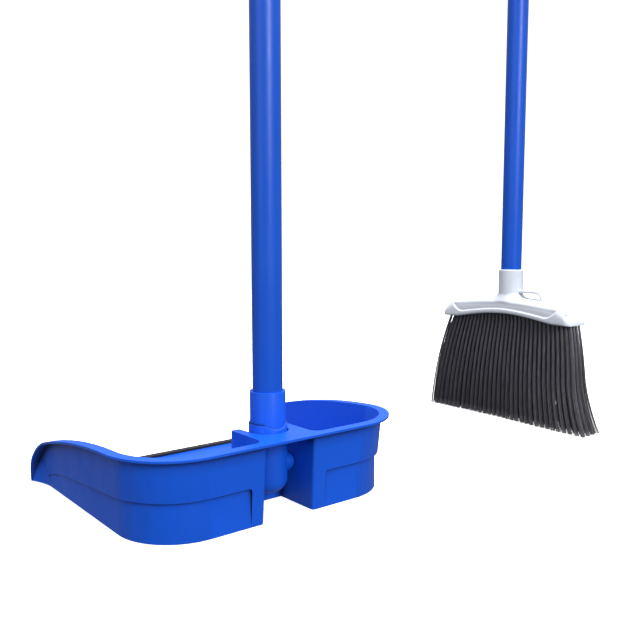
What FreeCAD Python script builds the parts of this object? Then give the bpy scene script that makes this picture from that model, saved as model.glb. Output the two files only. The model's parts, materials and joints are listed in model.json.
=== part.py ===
import FreeCAD, Part
import math
import os
import Sketcher

# Upright dust pan with a fold-down handle, and its separate angled broom.
# Millimetres. The origin is the middle of the pan's flat underside, +Z is up,
# +Y points out of the pan's mouth, and everything is symmetric about X = 0
# on the pan and about the broom's own axis on the broom.

V = FreeCAD.Vector
doc = FreeCAD.newDocument("dust_pan_and_brush")

# ---------------------------------------------------------------- sizes

SIZES = [
    # pan tray
    ("rim_height", 68.0, "top of the level rear rim"),
    ("tray_back", 110.6, "rear wall behind the origin, at the floor"),
    ("tray_back_top", 114.8, "rear wall behind the origin, at the rim"),
    ("tray_front", 120.3, "front tips of the side walls"),
    ("half_base", 125.4, "half width at the floor"),
    ("half_top", 130.0, "half width at the rim"),
    ("corner_radius", 52.0, "plan radius of the rear corners"),
    ("wall", 2.4, "moulded wall thickness"),
    ("floor_thick", 2.4, "tray floor thickness"),
    ("rim_level_end", 88.0, "how far behind the origin the level rim starts to fall"),
    ("rim_lead", 640.0, "long bend from the level rim into its slope"),
    ("rim_slope", 13.2, "steepest straight fall of the side walls' rim, degrees"),
    ("rim_bend", 88.0, "bend from the sloping rim into the nose"),
    ("rim_nose", 28.0, "round front end of the side walls"),
    ("rim_nose_high", 5.0, "centre of that round above the floor"),
    ("rim_thick", 2.0, "flange thickness"),
    ("flange_top", 7.0, "flange overhang at the rim"),
    ("flange_base", 8.5, "flange overhang where it meets the floor"),
    ("step_height", 32.6, "moulded step around the lower wall"),
    ("step_level_end", 95.0, "how far behind the origin the level step starts to fall"),
    ("step_lead", 200.0, "bend from the level step into its slope"),
    ("step_slope", 5.2, "fall of the step along the sides, degrees"),
    ("step_bend", 200.0, "bend from the sloping step into its nose"),
    ("step_nose", 16.0, "round front end of the step"),
    ("step_nose_high", -6.0, "centre of that round above the floor"),
    ("step_front", 108.0, "front end of the step"),
    ("panel_end", 37.2, "half gap between the two rear panels"),
    ("panel_round", 3.0, "round upper corner of the rear panels"),
    ("flare_start", 86.0, "where the side walls' feet start to sweep outwards"),
    ("flare_radius", 50.0, "plan radius of that sweep"),
    ("flare_high", 46.0, "height at which the sweep has died out"),
    ("strip_back", 106.5, "rear edge of the lip strip"),
    ("strip_front", 124.0, "front edge of the lip strip"),
    ("strip_half", 122.9, "half length of the lip strip"),
    ("strip_high", 5.8, "height of the lip strip"),
    ("strip_edge", 0.8, "thickness of the strip's front edge"),
    ("floor_front", 111.5, "front edge of the tray floor"),
    # handle pocket in the rear wall
    ("pocket_half_base", 24.9, "half width of the pocket at the floor"),
    ("pocket_half_top", 23.9, "half width of the pocket under the deck"),
    ("pocket_wall", 2.0, "thickness of the pocket's walls"),
    ("pocket_front", 65.2, "inner front face of the pocket, behind the origin"),
    ("pocket_blend", 9.0, "round between pocket and rear wall inside"),
    ("pocket_round", 2.6, "round on the pocket's outer rear corners"),
    ("deck_thick", 2.2, "deck over the pocket"),
    ("slot_half", 17.5, "half width of the handle slot"),
    ("notch_radius", 18.3, "round bottom of the notch for the folded handle"),
    # pivot and knuckle
    ("pivot_back", 81.0, "pivot axis behind the origin"),
    ("pivot_height", 37.0, "pivot axis above the floor"),
    ("axle_radius", 3.0, "pivot axle"),
    ("axle_play", 0.06, "running clearance on the axle"),
    ("axle_head", 5.2, "axle head radius"),
    ("nut_radius", 6.5, "push nut radius"),
    ("bush_radius", 8.2, "pivot bush beside the knuckle"),
    ("bush_step", 19.6, "end of the bush's wide part from the centre"),
    ("bush_nose", 6.6, "narrow outer part of the bush"),
    ("bush_end", 23.3, "outer end of the pivot bush from the centre"),
    ("knuckle_radius", 16.3, "knuckle and its ring"),
    ("knuckle_low", 14.6, "bottom of the knuckle"),
    ("knuckle_round", 12.0, "round at the knuckle's bottom"),
    ("ring_top", 74.8, "top of the ring"),
    ("ring_rear", 70.3, "top of the ring at its bevelled rear edge"),
    ("ring_bevel", 5.4, "how far forward the bevel reaches"),
    ("collar_radius", 15.1, "collar around the tube"),
    ("collar_top", 101.5, "top of the collar"),
    ("socket_low", 64.0, "bottom of the tube socket"),
    # tubes and hanging caps
    ("tube_radius", 12.7, "both handle tubes"),
    ("tube_wall", 0.6, "tube wall thickness"),
    ("fit_gap", 0.05, "radial gap between a tube and its socket"),
    ("pan_tube_top", 838.0, "upper end of the pan's tube"),
    ("broom_tube_top", 912.0, "upper end of the broom's tube"),
    ("cap_radius", 13.9, "hanging cap sleeve"),
    ("cap_sleeve", 46.0, "sleeve length over the tube"),
    ("cap_eye", 34.0, "height of the eye above the tube's end"),
    ("cap_thick", 9.0, "thickness of the eye"),
    ("cap_hole", 5.5, "radius of the hanging hole"),
    ("rivet_radius", 1.6, "rivet shank"),
    ("rivet_head", 3.4, "rivet head radius"),
    ("rivet_dome", 1.3, "rivet head height"),
    # broom
    ("broom_x", 437.0, "broom axis to the right of the pan's middle"),
    ("head_half_long", 97.7, "half length of the broom head"),
    ("head_half_wide", 20.0, "half width of the broom head"),
    ("head_end_top", 147.2, "top of the head at its ends"),
    ("head_mid_top", 155.5, "top of the head at its middle"),
    ("skirt_end", 126.5, "lower edge at the ends"),
    ("skirt_half", 74.0, "half length of the arch in the lower edge"),
    ("skirt_mid", 134.5, "lower edge at the middle"),
    ("head_end_round", 8.0, "plan round at the head's ends"),
    ("head_edge_round", 7.5, "round along the head's upper edges"),
    ("mouth_half_long", 95.2, "half length of the hollow under the block"),
    ("mouth_half_wide", 17.6, "half width of the hollow under the block"),
    ("mouth_round", 6.0, "plan round at that hollow's corners"),
    ("shell_inner_long", 91.2, "half length of the seat for the block"),
    ("shell_inner_wide", 16.2, "half width of the seat for the block"),
    ("block_low", 134.8, "underside of the bristle block"),
    ("block_high", 139.8, "top of the bristle block"),
    ("screw_along", 60.0, "screws on each side of the middle"),
    ("screw_radius", 1.7, "screw shank"),
    ("screw_head", 3.0, "screw head radius"),
    ("screw_recess", 2.4, "depth of the hole that the screw head sits in"),
    ("broom_socket_radius", 15.3, "broom socket"),
    ("broom_socket_top", 191.0, "top of the broom socket"),
    ("tube_seat", 174.0, "shoulder that the broom tube rests on"),
    ("thread_radius", 9.4, "threaded tip"),
    ("thread_low", 150.0, "bottom of the threaded hole"),
    ("loop_near", 14.0, "hanging loop where it meets the socket"),
    ("loop_far", 51.0, "outer end of the hanging loop"),
    ("loop_top", 164.6, "top of the hanging loop"),
    ("loop_wide", 8.0, "width of the hanging loop"),
    ("loop_bar", 2.8, "thickness of the hanging loop"),
    ("root_half", 90.0, "half length of a bristle row at the block"),
    ("tip_half", 120.0, "half length of a bristle row at the floor"),
    ("root_pitch", 5.6, "row spacing at the block"),
    ("tip_pitch", 7.4, "row spacing at the floor"),
    ("row_gap", 0.5, "gap between two rows"),
]

sheet = doc.addObject("Spreadsheet::Sheet", "Sizes")
size = {}
for row, (alias, value, note) in enumerate(SIZES, start=1):
    sheet.set(f"A{row}", note)
    sheet.set(f"B{row}", str(value))
    sheet.setAlias(f"B{row}", alias)
    size[alias] = value
doc.recompute()

MARGIN = 20.0       # how far a cutting tool runs past what it cuts
REACH = 400.0       # length of a tool that runs right across the pan
ALONG_X = FreeCAD.Rotation(V(0, 1, 0), 90)
ALONG_Y = FreeCAD.Rotation(V(1, 0, 0), -90)
SIDE_VIEW = FreeCAD.Rotation(V(1, 1, 1), 120)     # sketch x, y lie along Y, Z

SCREWS = (("near", "-Sizes.screw_along"), ("far", "Sizes.screw_along"))

nodes = {}


# ---------------------------------------------------------------- helpers

def cell(alias):
    """The expression that reads one size."""
    return f"Sizes.{alias}"


def bind(thing, **expressions):
    """Bind properties to sizes: x, y and z are the placement's position."""
    places = {"x": "Placement.Base.x", "y": "Placement.Base.y", "z": "Placement.Base.z"}
    for name, expression in expressions.items():
        thing.setExpression(places.get(name, name), expression)
    return thing


def box(name, long_x, long_y, long_z, x="0", y="0", z="0"):
    """A box centred on x and y, standing on z."""
    thing = doc.addObject("Part::Box", name)
    return bind(thing, Length=long_x, Width=long_y, Height=long_z,
                x=f"{x} - ({long_x}) / 2", y=f"{y} - ({long_y}) / 2", z=z)


def cylinder(name, radius, length, x="0", y="0", z="0", turn=None):
    """A cylinder that starts at x, y, z and runs up, or along the turned Z."""
    thing = doc.addObject("Part::Cylinder", name)
    if turn is not None:
        thing.Placement = FreeCAD.Placement(V(), turn)
    return bind(thing, Radius=radius, Height=length, x=x, y=y, z=z)


def cut(name, base, tool):
    thing = doc.addObject("Part::Cut", name)
    thing.Base = base
    thing.Tool = tool
    return thing


def common(name, first, second):
    thing = doc.addObject("Part::MultiCommon", name)
    thing.Shapes = [first, second]
    return thing


def fuse(name, *parts):
    thing = doc.addObject("Part::MultiFuse", name)
    thing.Shapes = list(parts)
    return thing


def cut_all(name, base, *tools):
    """Cut several tools from one base at once."""
    return cut(name, base, fuse(f"{name}_tools", *tools) if len(tools) > 1 else tools[0])


def extrude(name, sketch, direction, length):
    """Extrude a sketch along a direction by a length expression."""
    thing = doc.addObject("Part::Extrusion", name)
    thing.Base = sketch
    thing.DirMode = "Custom"
    thing.Dir = direction
    thing.Solid = True
    return bind(thing, LengthFwd=length)


def loft(name, low, high):
    thing = doc.addObject("Part::Loft", name)
    thing.Sections = [low, high]
    thing.Solid = True
    thing.Ruled = True
    return thing


def fillet(name, base, picks):
    """Round the edges of base for which a test holds: picks is [(test, radius)]."""
    doc.recompute()
    rounds = []
    for index, edge in enumerate(base.Shape.Edges, start=1):
        for test, radius in picks:
            if test(edge):
                rounds.append((index, radius, radius))
                break
    if not rounds:
        raise RuntimeError(f"{name} found no edges to round")
    thing = doc.addObject("Part::Fillet", name)
    thing.Base = base
    thing.Edges = rounds
    return thing


def node(name, shape):
    """Name the finished piece: its label is the node's name."""
    shape.Label = name
    nodes[name] = shape
    return shape


def middle(edge):
    """The point halfway along an edge."""
    return edge.valueAt((edge.FirstParameter + edge.LastParameter) / 2)


# ---------------------------------------------------------------- sketches

def tray_outline(name, level, grow, back, half, front="tray_front", margin=0.0):
    """The tray's plan outline at one level: rear edge, round rear corners, straight
    sides and front. grow is how far the outline stands outside (+) the wall's face."""
    sketch = doc.addObject("Sketcher::SketchObject", name)
    bind(sketch, z=level[0])
    sketch.Placement.Base.z = level[1]
    rear = size[back] + grow[1]
    side = size[half] + grow[1]
    nose = size[front] + margin
    radius = size["corner_radius"] + grow[1]
    flat = side - radius
    corner = -rear + radius
    right = sketch.addGeometry(Part.LineSegment(V(side, corner, 0), V(side, nose, 0)))
    top = sketch.addGeometry(Part.LineSegment(V(side, nose, 0), V(-side, nose, 0)))
    left = sketch.addGeometry(Part.LineSegment(V(-side, nose, 0), V(-side, corner, 0)))
    turn_left = sketch.addGeometry(Part.Arc(
        V(-side, corner, 0),
        V(-flat - radius * 0.7071, corner - radius * 0.7071, 0),
        V(-flat, -rear, 0)))
    base = sketch.addGeometry(Part.LineSegment(V(-flat, -rear, 0), V(flat, -rear, 0)))
    turn_right = sketch.addGeometry(Part.Arc(
        V(flat, -rear, 0),
        V(flat + radius * 0.7071, corner - radius * 0.7071, 0),
        V(side, corner, 0)))
    start = {turn_left: 1, turn_right: 1}
    end = {turn_left: 2, turn_right: 2}
    add = sketch.addConstraint
    add(Sketcher.Constraint("Coincident", right, 2, top, 1))
    add(Sketcher.Constraint("Coincident", top, 2, left, 1))
    add(Sketcher.Constraint("Tangent", left, 2, turn_left, start[turn_left]))
    add(Sketcher.Constraint("Tangent", turn_left, end[turn_left], base, 1))
    add(Sketcher.Constraint("Tangent", base, 2, turn_right, start[turn_right]))
    add(Sketcher.Constraint("Tangent", turn_right, end[turn_right], right, 1))
    add(Sketcher.Constraint("Horizontal", base))
    add(Sketcher.Constraint("Vertical", right))
    add(Sketcher.Constraint("Vertical", left))
    add(Sketcher.Constraint("Symmetric", top, 1, top, 2, -2))
    add(Sketcher.Constraint("Equal", turn_left, turn_right))
    measures = [
        ("rear", Sketcher.Constraint("DistanceY", base, 1, -1, 1, rear),
         f"{cell(back)} + {grow[0]}"),
        ("nose", Sketcher.Constraint("DistanceY", -1, 1, top, 1, nose),
         f"{cell(front)} + {margin}"),
        ("side", Sketcher.Constraint("DistanceX", -1, 1, top, 1, side),
         f"{cell(half)} + {grow[0]}"),
        ("radius", Sketcher.Constraint("Radius", turn_left, radius),
         f"{cell('corner_radius')} + {grow[0]}"),
    ]
    dimension(sketch, measures)
    return sketch


def dimension(sketch, measures):
    """Add named dimensions and bind each to its expression."""
    for name, constraint, expression in measures:
        index = sketch.addConstraint(constraint)
        sketch.renameConstraint(index, name)
        sketch.setExpression(f"Constraints.{name}", expression)


def falling_profile(name, line, front, offset):
    """A side view that is level behind, bends into a straight slope, bends again and
    ends in a round nose. offset pushes the whole line outwards (+) or inwards (-)."""
    sketch = doc.addObject("Sketcher::SketchObject", name)
    sketch.Placement = FreeCAD.Placement(V(-REACH / 2, 0, 0), SIDE_VIEW)
    shift, shift_text = offset
    level = {"rim": "rim_height", "step": "step_height"}[line]
    high = size[level] + shift
    lead = size[f"{line}_lead"] + shift
    bend = size[f"{line}_bend"] + shift
    nose = size[f"{line}_nose"] + shift
    reach = size[front] + shift
    begin = -size[f"{line}_level_end"]
    rear = -(size["tray_back"] + 4 * MARGIN)
    slope = math.radians(size[f"{line}_slope"])
    normal = V(math.sin(slope), math.cos(slope), 0)
    lead_end = V(begin, high - lead, 0) + normal * lead
    nose_centre = V(reach - nose, size[f"{line}_nose_high"], 0)
    bend_centre = tangent_centre(lead_end, normal, bend, nose_centre, bend - nose)
    bend_start = bend_centre + normal * bend
    out = (nose_centre - bend_centre).normalize()
    join = nose_centre + out * nose
    nose_end = V(reach, nose_centre.y, 0)
    low_front, low_rear = V(reach, -MARGIN, 0), V(rear, -MARGIN, 0)
    peak = sketch.addGeometry(Part.LineSegment(V(rear, high, 0), V(begin, high, 0)))
    start = sketch.addGeometry(short_arc(V(begin, high - lead, 0), V(0, 1, 0), normal, lead))
    fall = sketch.addGeometry(Part.LineSegment(lead_end, bend_start))
    curve = sketch.addGeometry(short_arc(bend_centre, normal, out, bend))
    turn = sketch.addGeometry(short_arc(nose_centre, out, V(1, 0, 0), nose))
    down = sketch.addGeometry(Part.LineSegment(nose_end, low_front))
    under = sketch.addGeometry(Part.LineSegment(low_front, low_rear))
    behind = sketch.addGeometry(Part.LineSegment(low_rear, V(rear, high, 0)))
    add = sketch.addConstraint
    add(Sketcher.Constraint("Tangent", peak, 2, start, 2))
    add(Sketcher.Constraint("Tangent", start, 1, fall, 1))
    add(Sketcher.Constraint("Tangent", fall, 2, curve, 2))
    add(Sketcher.Constraint("Tangent", curve, 1, turn, 2))
    add(Sketcher.Constraint("Tangent", turn, 1, down, 1))
    add(Sketcher.Constraint("Coincident", down, 2, under, 1))
    add(Sketcher.Constraint("Coincident", under, 2, behind, 1))
    add(Sketcher.Constraint("Coincident", behind, 2, peak, 1))
    add(Sketcher.Constraint("Horizontal", peak))
    add(Sketcher.Constraint("Horizontal", under))
    add(Sketcher.Constraint("Vertical", down))
    add(Sketcher.Constraint("Vertical", behind))
    dimension(sketch, [
        ("level", Sketcher.Constraint("DistanceY", -1, 1, peak, 2, high),
         f"{cell(level)} + {shift_text}"),
        ("begin", Sketcher.Constraint("DistanceX", peak, 2, -1, 1, -begin),
         cell(f"{line}_level_end")),
        ("lead", Sketcher.Constraint("Radius", start, lead),
         f"{cell(f'{line}_lead')} + {shift_text}"),
        ("lead_run", Sketcher.Constraint("DistanceX", start, 2, start, 1, lead * normal.x),
         f"({cell(f'{line}_lead')} + {shift_text}) * sin({cell(f'{line}_slope')})"),
        ("bend", Sketcher.Constraint("Radius", curve, bend),
         f"{cell(f'{line}_bend')} + {shift_text}"),
        ("nose", Sketcher.Constraint("Radius", turn, nose),
         f"{cell(f'{line}_nose')} + {shift_text}"),
        ("nose_high", Sketcher.Constraint("DistanceY", under, 1, turn, 3,
                                          nose_centre.y + MARGIN),
         f"{cell(f'{line}_nose_high')} + {MARGIN}"),
        ("reach", Sketcher.Constraint("DistanceX", -1, 1, down, 2, reach),
         f"{cell(front)} + {shift_text}"),
        ("rear", Sketcher.Constraint("DistanceX", behind, 2, -1, 1, -rear),
         f"{cell('tray_back')} + {4 * MARGIN}"),
        ("under", Sketcher.Constraint("DistanceY", under, 2, -1, 1, MARGIN), str(MARGIN)),
    ])
    return sketch


def tangent_centre(on_line, normal, radius, other, apart):
    """Centre of the arc under a sloping line that also touches a round at other."""
    base = on_line - normal * radius
    along = V(normal.y, -normal.x, 0)
    rise = (other - base).dot(normal)
    run = (other - base).dot(along)
    return base + along * (run - (apart ** 2 - rise ** 2) ** 0.5)


def short_arc(centre, first, last, radius):
    """The arc from one direction to another about a centre."""
    between = (first + last).normalize()
    return Part.Arc(centre + first * radius, centre + between * radius,
                    centre + last * radius)


def polygon(name, points, placement):
    """A closed outline of straight lines, each corner bound to two expressions.
    points is [(x, y, x expression, y expression)], all in the sketch's own plane."""
    sketch = doc.addObject("Sketcher::SketchObject", name)
    sketch.Placement = placement
    count = len(points)
    for index, point in enumerate(points):
        following = points[(index + 1) % count]
        sketch.addGeometry(Part.LineSegment(V(*point[:2], 0), V(*following[:2], 0)))
    for index in range(count):
        sketch.addConstraint(
            Sketcher.Constraint("Coincident", index, 2, (index + 1) % count, 1))
    measures = []
    for index, (x, y, x_text, y_text) in enumerate(points):
        measures.append((f"x{index}_across",
                         Sketcher.Constraint("DistanceX", -1, 1, index, 1, x), x_text))
        measures.append((f"y{index}_up",
                         Sketcher.Constraint("DistanceY", -1, 1, index, 1, y), y_text))
    dimension(sketch, measures)
    return sketch


def tray_block(name, grow, low=("0", 0.0), front_margin=0.0, flange=None):
    """The tray's drafted outer form, pushed out or in by grow."""
    grow_low = grow_high = grow
    if flange:
        grow_low = (cell("flange_base"), size["flange_base"])
        grow_high = (cell("flange_top"), size["flange_top"])
    bottom = tray_outline(f"{name}_low", low, grow_low, "tray_back", "half_base",
                          margin=front_margin)
    top = tray_outline(f"{name}_high", (cell("rim_height"), size["rim_height"]), grow_high,
                       "tray_back_top", "half_top", margin=front_margin)
    return loft(name, bottom, top)


def tray_panel(name, grow, front_margin):
    """The upright form that the lower panels follow, up from the floor's outline."""
    outline = tray_outline(f"{name}_outline", ("0", 0.0), grow, "tray_back", "half_base",
                           margin=front_margin)
    return extrude(name, outline, V(0, 0, 1), cell("rim_height"))


def side_prism(name, sketch):
    """Everything under a falling profile, right across the pan."""
    return extrude(name, sketch, V(1, 0, 0), str(REACH))


# ---------------------------------------------------------------- the pan

def pan_tray():
    """The moulded tray: drafted walls with a step, sloping sides, a flange, and the
    handle pocket under its deck."""
    wall = size["wall"]
    floor_level = (cell("floor_thick"), size["floor_thick"])

    outer = tray_block("tray_outer", ("0", 0.0))
    outer_panel = tray_panel("tray_panel", ("0", 0.0), MARGIN)
    under_step = side_prism("under_step", falling_profile(
        "step_line", "step", "step_front", (0.0, "0")))
    keep = box("panel_stop", f"2 * {cell('panel_end')}", "120", "120",
               y=f"-{cell('tray_back')}", z="-20")
    recess = fillet("step_recess", cut_all("step_recess_sharp", under_step, outer_panel, keep),
                    [(is_panel_corner, size["panel_round"])])
    body = cut("tray_solid", outer, recess)

    inner = tray_block("tray_inner", (f"-{cell('wall')}", -wall), floor_level, MARGIN)
    inner_panel = tray_panel("tray_inner_panel", (f"-{cell('wall')}", -wall), 2 * MARGIN)
    under_ledge = side_prism("under_ledge", falling_profile(
        "ledge_line", "step", "step_front", (wall, cell("wall"))))
    inner_keep = box("ledge_stop", f"2 * {cell('panel_end')}", "120", "120",
                     y=f"-{cell('tray_back')}", z="-20")
    ledge = cut_all("ledge", under_ledge, inner_panel, inner_keep)
    cavity = cut("tray_cavity", inner, ledge)

    pocket = pocket_form("pocket_block", cell("pocket_wall"), size["pocket_wall"],
                         cell("rim_height"), size["rim_height"])
    hollow = fillet("tray_hollow", cut("cavity_beside_pocket", cavity, pocket), [
        (is_pocket_blend, size["pocket_blend"]),
        (is_pocket_front, size["pocket_wall"]),
    ])

    shell = cut("tray_shell", body, hollow)
    sloped = common("sloped_shell", shell, side_prism("under_rim", falling_profile(
        "rim_line", "rim", "tray_front", (0.0, "0"))))

    return sloped, hollow


def is_panel_corner(edge):
    """The upper inner corners of the two rear panels."""
    point = middle(edge)
    across = abs(abs(point.x) - size["panel_end"]) < 0.1
    return across and abs(point.z - size["step_height"]) < 0.1 and edge.BoundBox.YLength > 5


def is_upright(edge):
    """A nearly vertical straight edge that is longer than half the wall."""
    span = edge.Vertexes[-1].Point - edge.Vertexes[0].Point
    return len(edge.Vertexes) == 2 and abs(span.z) > size["rim_height"] / 2


def is_pocket_blend(edge):
    """The two corners where the pocket's sides leave the rear wall."""
    point = middle(edge)
    near = abs(abs(point.x) - size["pocket_half_base"] - size["pocket_wall"]) < 2.5
    return is_upright(edge) and near and point.y < -size["pivot_back"]


def is_pocket_front(edge):
    """The two front corners of the pocket."""
    point = middle(edge)
    near = abs(abs(point.x) - size["pocket_half_base"] - size["pocket_wall"]) < 2.5
    return is_upright(edge) and near and point.y > -size["pivot_back"]


def is_pocket_mouth(edge):
    """The two upright corners where the pocket opens through the rear wall."""
    point = middle(edge)
    near = abs(abs(point.x) - size["pocket_half_base"]) < 1.5
    return is_upright(edge) and near and point.y < -size["tray_back"] + 5


def pocket_form(name, grow, grow_size, top, top_size):
    """The drafted box of the pocket, pushed out by grow."""
    rear = size["tray_back"] + MARGIN
    rear_text = f"-{cell('tray_back')} - {MARGIN}"
    front = -size["pocket_front"] + grow_size
    front_text = f"-{cell('pocket_front')} + {grow}"
    sections = []
    for level, half, height, height_text in (
            ("low", "pocket_half_base", 0.0, "0"), ("high", "pocket_half_top", top_size, top)):
        wide = size[half] + grow_size
        wide_text = f"{cell(half)} + {grow}"
        outline = polygon(f"{name}_{level}", [
            (-wide, -rear, f"-({wide_text})", rear_text),
            (wide, -rear, wide_text, rear_text),
            (wide, front, wide_text, front_text),
            (-wide, front, f"-({wide_text})", front_text),
        ], FreeCAD.Placement(V(0, 0, height), FreeCAD.Rotation()))
        bind(outline, z=height_text)
        sections.append(outline)
    return loft(name, *sections)


def pan_body():
    sloped, hollow = pan_tray()
    ring = cut("flange_ring", tray_block("flange_outer", None, flange=True), hollow)
    band = cut("flange_band", side_prism("flange_top_side", falling_profile(
        "flange_line", "rim", "tray_front", (0.0, "0"))),
        side_prism("flange_low_side", falling_profile(
            "flange_under_line", "rim", "tray_front",
            (-size["rim_thick"], f"-{cell('rim_thick')}"))))
    flange = common("flange", ring, band)
    flares = [common(f"flare_{side}", foot_flare(f"flare_skin_{side}", sign, 0),
                     side_prism(f"flare_limit_{side}", falling_profile(
                         f"flare_line_{side}", "rim", "tray_front", (0.0, "0"))))
              for side, sign in (("left", -1), ("right", 1))]
    spaces = [foot_flare(f"flare_space_{side}", sign, size["wall"])
              for side, sign in (("left", -1), ("right", 1))]
    whole = fuse("tray_with_flange", sloped, flange, *flares)

    space = pocket_form("pocket_space", "0", 0.0,
                        f"{cell('rim_height')} - {cell('deck_thick')}",
                        size["rim_height"] - size["deck_thick"])
    slot_round = cylinder("slot_round", cell("slot_half"), "100",
                          y=f"-{cell('pivot_back')}", z=cell("pivot_height"))
    slot_run = box("slot_run", f"2 * {cell('slot_half')}", "40", "100",
                   y=f"-{cell('pivot_back')} + 20", z=cell("pivot_height"))
    notch = cylinder("handle_notch", cell("notch_radius"), "40", turn=ALONG_Y,
                     y=f"-{cell('pivot_back')}", z=cell("pivot_height"))
    bore = cylinder("axle_bore", cell("axle_radius"), "100", turn=ALONG_X,
                    x="-50", y=f"-{cell('pivot_back')}", z=cell("pivot_height"))
    floor_end = box("floor_end", f"2 * {cell('strip_half')}", "30", cell("floor_thick"),
                    y=f"{cell('floor_front')} + 15", z="0")
    sharp = cut_all("pan_sharp", whole, space, slot_round, slot_run, notch, bore, floor_end,
                    *spaces)
    node("pan_body", fillet("pan_moulding", sharp, [(is_pocket_mouth, size["pocket_round"])]))


def foot_flare(name, sign, inset):
    """What fills the foot of a side wall where it sweeps out to meet the flange: a
    wedge in side view, hollowed by a leaning cylinder that touches the wall. With an
    inset it is the space inside that sweep, one wall thickness in and above the floor."""
    sink = 0.3      # the cylinder enters the wall's face by this much, to cross it cleanly
    inner = cell("half_base") + f" - {inset} - 1.2"
    low = size["floor_thick"] if inset else 0.0
    low_text = cell("floor_thick") if inset else "0"
    run = (size["tray_front"] - size["flare_start"]) * low / size["flare_high"]
    run_text = (f"({cell('tray_front')} - {cell('flare_start')}) * {low_text}"
                f" / {cell('flare_high')}")
    corners = [
        (size["flare_start"] + run, low, f"{cell('flare_start')} + {run_text}", low_text),
        (size["tray_front"] + inset, low, f"{cell('tray_front')} + {inset}", low_text),
        (size["tray_front"] + inset, size["flare_high"], f"{cell('tray_front')} + {inset}",
         cell("flare_high")),
    ]
    if inset:
        corners.append((size["tray_front"], size["flare_high"], cell("tray_front"),
                        cell("flare_high")))
    outline = polygon(f"{name}_side", corners, FreeCAD.Placement(V(), SIDE_VIEW))
    wide = f"{cell('flange_base')} + 1.2"
    start = inner if sign > 0 else f"-({inner}) - ({wide})"
    bind(outline, x=start)
    wedge = extrude(f"{name}_wedge", outline, V(1, 0, 0), wide)
    drafted = (size["half_top"] - size["half_base"]) * size["flare_high"] / size["rim_height"]
    lean = V(sign * drafted, size["tray_front"] - size["flare_start"], size["flare_high"])
    radius = f"{cell('flare_radius')} + {inset}"
    roll = doc.addObject("Part::Cylinder", f"{name}_roll")
    foot = V(sign * (size["half_base"] + size["flare_radius"] - sink), size["flare_start"], 0)
    roll.Placement = FreeCAD.Placement(foot - lean, FreeCAD.Rotation(V(0, 0, 1), lean))
    bind(roll, Radius=radius, Height=str(3 * lean.Length))
    return cut(name, wedge, roll)


def lip_strip():
    """The rubber strip: it laps over the floor's front edge and thins to a lip."""
    back, front = size["strip_back"], size["strip_front"]
    ledge, high = size["floor_front"], size["strip_high"]
    floor_top, edge = size["floor_thick"], size["strip_edge"]
    texts = {back: cell("strip_back"), front: cell("strip_front"),
             ledge: cell("floor_front"), high: cell("strip_high"),
             floor_top: cell("floor_thick"), edge: cell("strip_edge"), 0.0: "0"}
    corners = [(back, floor_top), (ledge, floor_top), (ledge, 0.0), (front, 0.0),
               (front, edge), (ledge, high), (back, high - 0.6)]
    texts[high - 0.6] = f"{cell('strip_high')} - 0.6"
    outline = polygon("strip_outline", [(y, z, texts[y], texts[z]) for y, z in corners],
                      FreeCAD.Placement(V(-size["strip_half"], 0, 0), SIDE_VIEW))
    bind(outline, x=f"-{cell('strip_half')}")
    node("lip_strip", extrude("strip", outline, V(1, 0, 0), f"2 * {cell('strip_half')}"))


# ---------------------------------------------------------------- pivot and knuckle

def pivot():
    """The axle through the pocket's walls, its head and its push nut."""
    seat = f"({cell('pocket_half_base')} + {cell('pocket_wall')} - 0.45)"
    place = {"y": f"-{cell('pivot_back')}", "z": cell("pivot_height"), "turn": ALONG_X}
    shank = cylinder("axle_shank", cell("axle_radius"), f"2 * {seat} + 4",
                     x=f"-{seat}", **place)
    head = cylinder("axle_head", cell("axle_head"), "1.8", x=f"-{seat} - 1.8", **place)
    node("pivot_axle", fuse("axle", shank, head))
    washer = cylinder("nut_plate", cell("nut_radius"), "1.0", x=seat, **place)
    hole = cylinder("nut_hole", cell("axle_radius"), "3", x=f"{seat} - 1", **place)
    node("axle_push_nut", cut("push_nut", washer, hole))
    inner = f"({cell('knuckle_radius')} - 3)"
    for side, start in (("left", f"-{cell('bush_end')}"), ("right", inner)):
        length = f"{cell('bush_end')} - {inner}"
        ring_start = inner if side == "right" else f"-{cell('bush_step')}"
        ring = cylinder(f"bush_ring_{side}", cell("bush_radius"),
                        f"{cell('bush_step')} - {inner}", x=ring_start, **place)
        sleeve = cylinder(f"bush_sleeve_{side}", cell("bush_nose"), length, x=start, **place)
        nose = fillet(f"bush_nose_{side}", sleeve, [(
            lambda edge: abs(abs(middle(edge).x) - size["bush_end"]) < 0.1, 1.4)])
        clear = cylinder(f"bush_bore_{side}", f"{cell('axle_radius')} + {cell('axle_play')}",
                         f"{length} + 2", x=f"{start} - 1", **place)
        node(f"pivot_bush_{side}", cut(f"bush_{side}", fuse(f"bush_body_{side}", ring, nose),
                                       clear))


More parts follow.
